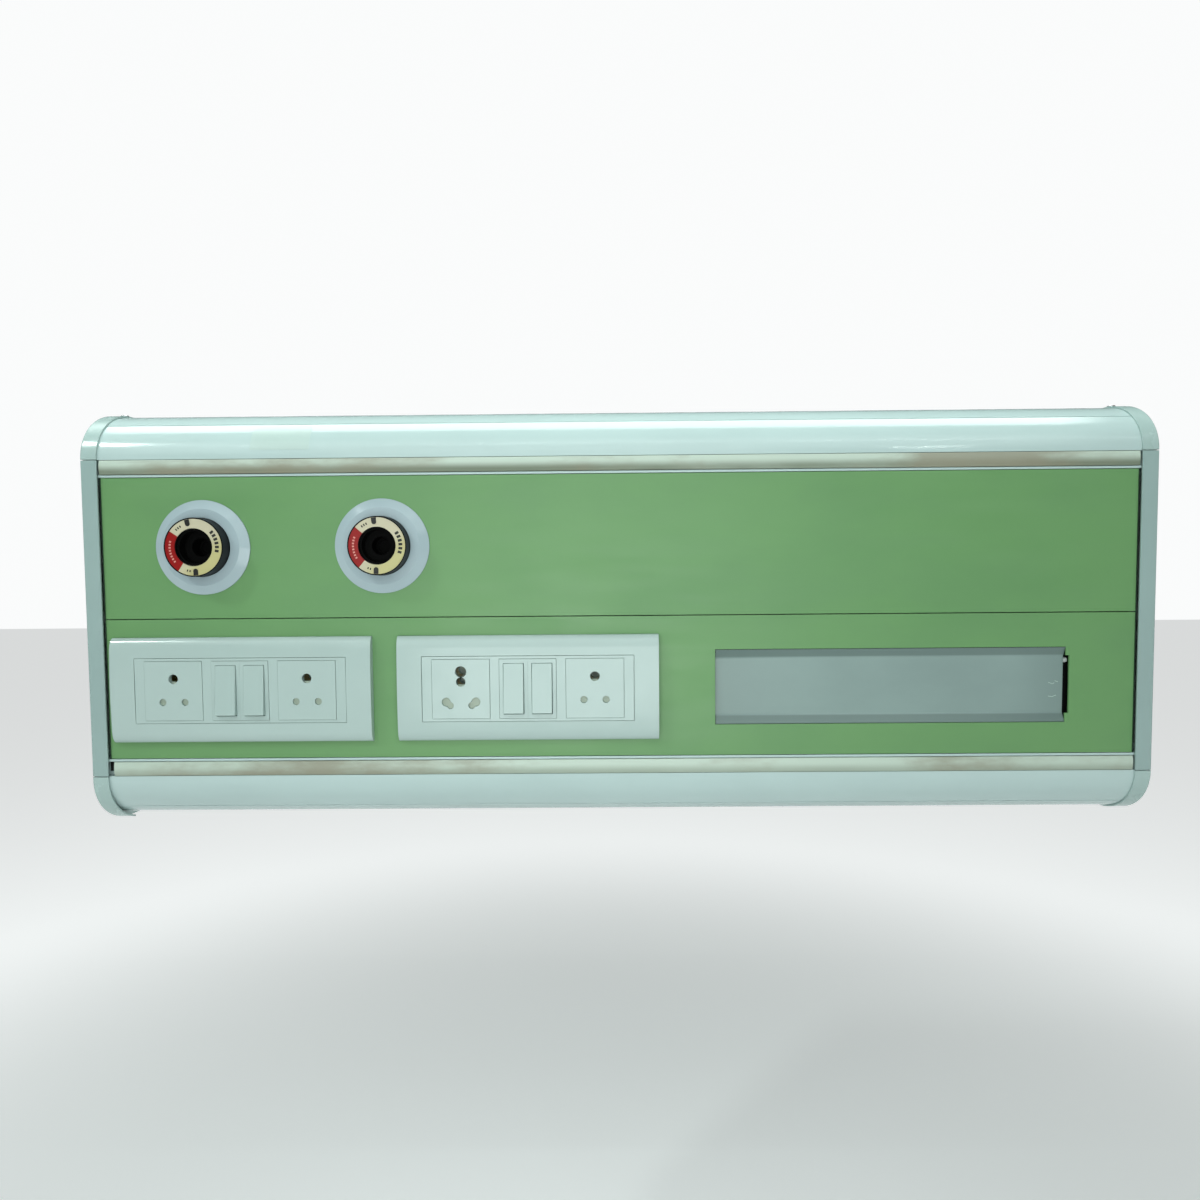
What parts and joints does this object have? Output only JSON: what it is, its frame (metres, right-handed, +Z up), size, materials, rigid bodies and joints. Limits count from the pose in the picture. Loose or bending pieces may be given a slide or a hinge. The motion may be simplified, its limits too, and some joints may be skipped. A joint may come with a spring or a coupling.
{
  "type": "bed head unit",
  "caption": "Horizontal wall-mounted bed head trunking with gas outlets, socket and switch plates and a recessed reading light.",
  "frame": {"origin": "centre of the wall hole pattern in the back face, level with the seam between the two covers", "axes": "+X along the unit to the right as seen from the front, +Y into the wall, +Z up"},
  "size_m": [0.9186, 0.0942, 0.3714],
  "materials": {
    "white_profile": "satin powder coat",
    "bare_aluminium": "mill finish",
    "end_steel": "powder coat",
    "green_cover": "satin powder coat",
    "cream_strip": "worn and stained",
    "grey_moulding": "satin",
    "white_moulding": "gloss",
    "black_plastic": "gloss",
    "label_print": "printed",
    "brass": "machined",
    "spring_steel": "plain",
    "copper": "drawn tube",
    "shutter_plastic": "matt",
    "zinc_steel": "zinc plated",
    "grommet_rubber": "matt",
    "housing_black": "black, matt",
    "board_white": "white solder mask",
    "diffuser_sheet": "frosted",
    "driver_case": "matt"
  },
  "bodies": {
    "unit": {"back_plate": "bare_aluminium", "body_screws": "zinc_steel", "bottom_bumper_strip": "cream_strip", "bottom_profile": "white_profile", "diffuser": "diffuser_sheet", "entry_grommets": "grommet_rubber", "led_board": "board_white", "led_driver": "driver_case", "left_bottom_cap": "grey_moulding", "left_contacts": "brass", "left_cover_plate": "white_moulding", "left_end_plate": "end_steel", "left_grid_frame": "white_moulding", "left_outlet_bezel": "white_moulding", "left_outlet_inlet_pipe": "copper", "left_outlet_poppet_spring": "spring_steel", "left_outlet_valve_body": "brass", "left_top_cap": "grey_moulding", "left_trim": "grey_moulding", "light_housing": "housing_black", "lower_panel": "green_cover", "panel_screws": "zinc_steel", "partition_rail": "bare_aluminium", "right_bottom_cap": "grey_moulding", "right_contacts": "brass", "right_cover_plate": "white_moulding", "right_end_plate": "end_steel", "right_grid_frame": "white_moulding", "right_outlet_bezel": "white_moulding", "right_outlet_inlet_pipe": "copper", "right_outlet_poppet_spring": "spring_steel", "right_outlet_valve_body": "brass", "right_top_cap": "grey_moulding", "right_trim": "grey_moulding", "socket_1": "white_moulding", "socket_2": "white_moulding", "socket_3": "white_moulding", "socket_4": "white_moulding", "switch_1": "white_moulding", "switch_2": "white_moulding", "switch_3": "white_moulding", "switch_4": "white_moulding", "top_bumper_strip": "cream_strip", "top_profile": "white_profile", "upper_panel": "green_cover"},
    "left_outlet_collar": {"left_outlet_collar": "black_plastic", "left_outlet_label_ring": "label_print"},
    "right_outlet_collar": {"right_outlet_collar": "black_plastic", "right_outlet_label_ring": "label_print"},
    "left_outlet_poppet": {"left_outlet_poppet": "brass"},
    "right_outlet_poppet": {"right_outlet_poppet": "brass"},
    "rocker_1": {"rocker_1": "white_moulding"},
    "shutter_1": {"shutter_1": "shutter_plastic"},
    "rocker_2": {"rocker_2": "white_moulding"},
    "shutter_2": {"shutter_2": "shutter_plastic"},
    "rocker_3": {"rocker_3": "white_moulding"},
    "shutter_3": {"shutter_3": "shutter_plastic"},
    "rocker_4": {"rocker_4": "white_moulding"},
    "shutter_4": {"shutter_4": "shutter_plastic"}
  },
  "joints": [
    {"name": "left_collar_turn", "type": "hinge", "parent": "unit", "child": "left_outlet_collar", "pos_m": [-0.3555, -0.094, 0.0615], "axis": [0, 1, 0], "range_deg": [0, 30], "stiffness_Nm_per_rad": 0.05, "springref_deg": -5.73},
    {"name": "left_poppet_slide", "type": "slide", "parent": "unit", "child": "left_outlet_poppet", "axis": [0, 1, 0], "range_m": [0, 0.006], "stiffness_N_per_m": 600, "springref_m": -0.003, "deforming": ["left_outlet_poppet_spring"]},
    {"name": "right_collar_turn", "type": "hinge", "parent": "unit", "child": "right_outlet_collar", "pos_m": [-0.2015, -0.094, 0.0615], "axis": [0, 1, 0], "range_deg": [0, 30], "stiffness_Nm_per_rad": 0.05, "springref_deg": -5.73},
    {"name": "right_poppet_slide", "type": "slide", "parent": "unit", "child": "right_outlet_poppet", "axis": [0, 1, 0], "range_m": [0, 0.006], "stiffness_N_per_m": 600, "springref_m": -0.003, "deforming": ["right_outlet_poppet_spring"]},
    {"name": "rocker_1_tip", "type": "hinge", "parent": "unit", "child": "rocker_1", "pos_m": [-0.33615, -0.0814, -0.0613], "axis": [1, 0, 0], "range_deg": [0, 10]},
    {"name": "rocker_2_tip", "type": "hinge", "parent": "unit", "child": "rocker_2", "pos_m": [-0.31185, -0.0814, -0.0613], "axis": [1, 0, 0], "range_deg": [0, 10]},
    {"name": "rocker_3_tip", "type": "hinge", "parent": "unit", "child": "rocker_3", "pos_m": [-0.08965, -0.0814, -0.0613], "axis": [1, 0, 0], "range_deg": [0, 10]},
    {"name": "rocker_4_tip", "type": "hinge", "parent": "unit", "child": "rocker_4", "pos_m": [-0.06535, -0.0814, -0.0613], "axis": [1, 0, 0], "range_deg": [0, 10]},
    {"name": "shutter_1_slide", "type": "slide", "parent": "unit", "child": "shutter_1", "axis": [0, 0, -1], "range_m": [0, 0.006], "stiffness_N_per_m": 100, "springref_m": -0.002},
    {"name": "shutter_2_slide", "type": "slide", "parent": "unit", "child": "shutter_2", "axis": [0, 0, -1], "range_m": [0, 0.006], "stiffness_N_per_m": 100, "springref_m": -0.002},
    {"name": "shutter_3_slide", "type": "slide", "parent": "unit", "child": "shutter_3", "axis": [0, 0, -1], "range_m": [0, 0.006], "stiffness_N_per_m": 100, "springref_m": -0.002},
    {"name": "shutter_4_slide", "type": "slide", "parent": "unit", "child": "shutter_4", "axis": [0, 0, -1], "range_m": [0, 0.006], "stiffness_N_per_m": 100, "springref_m": -0.002}
  ]
}
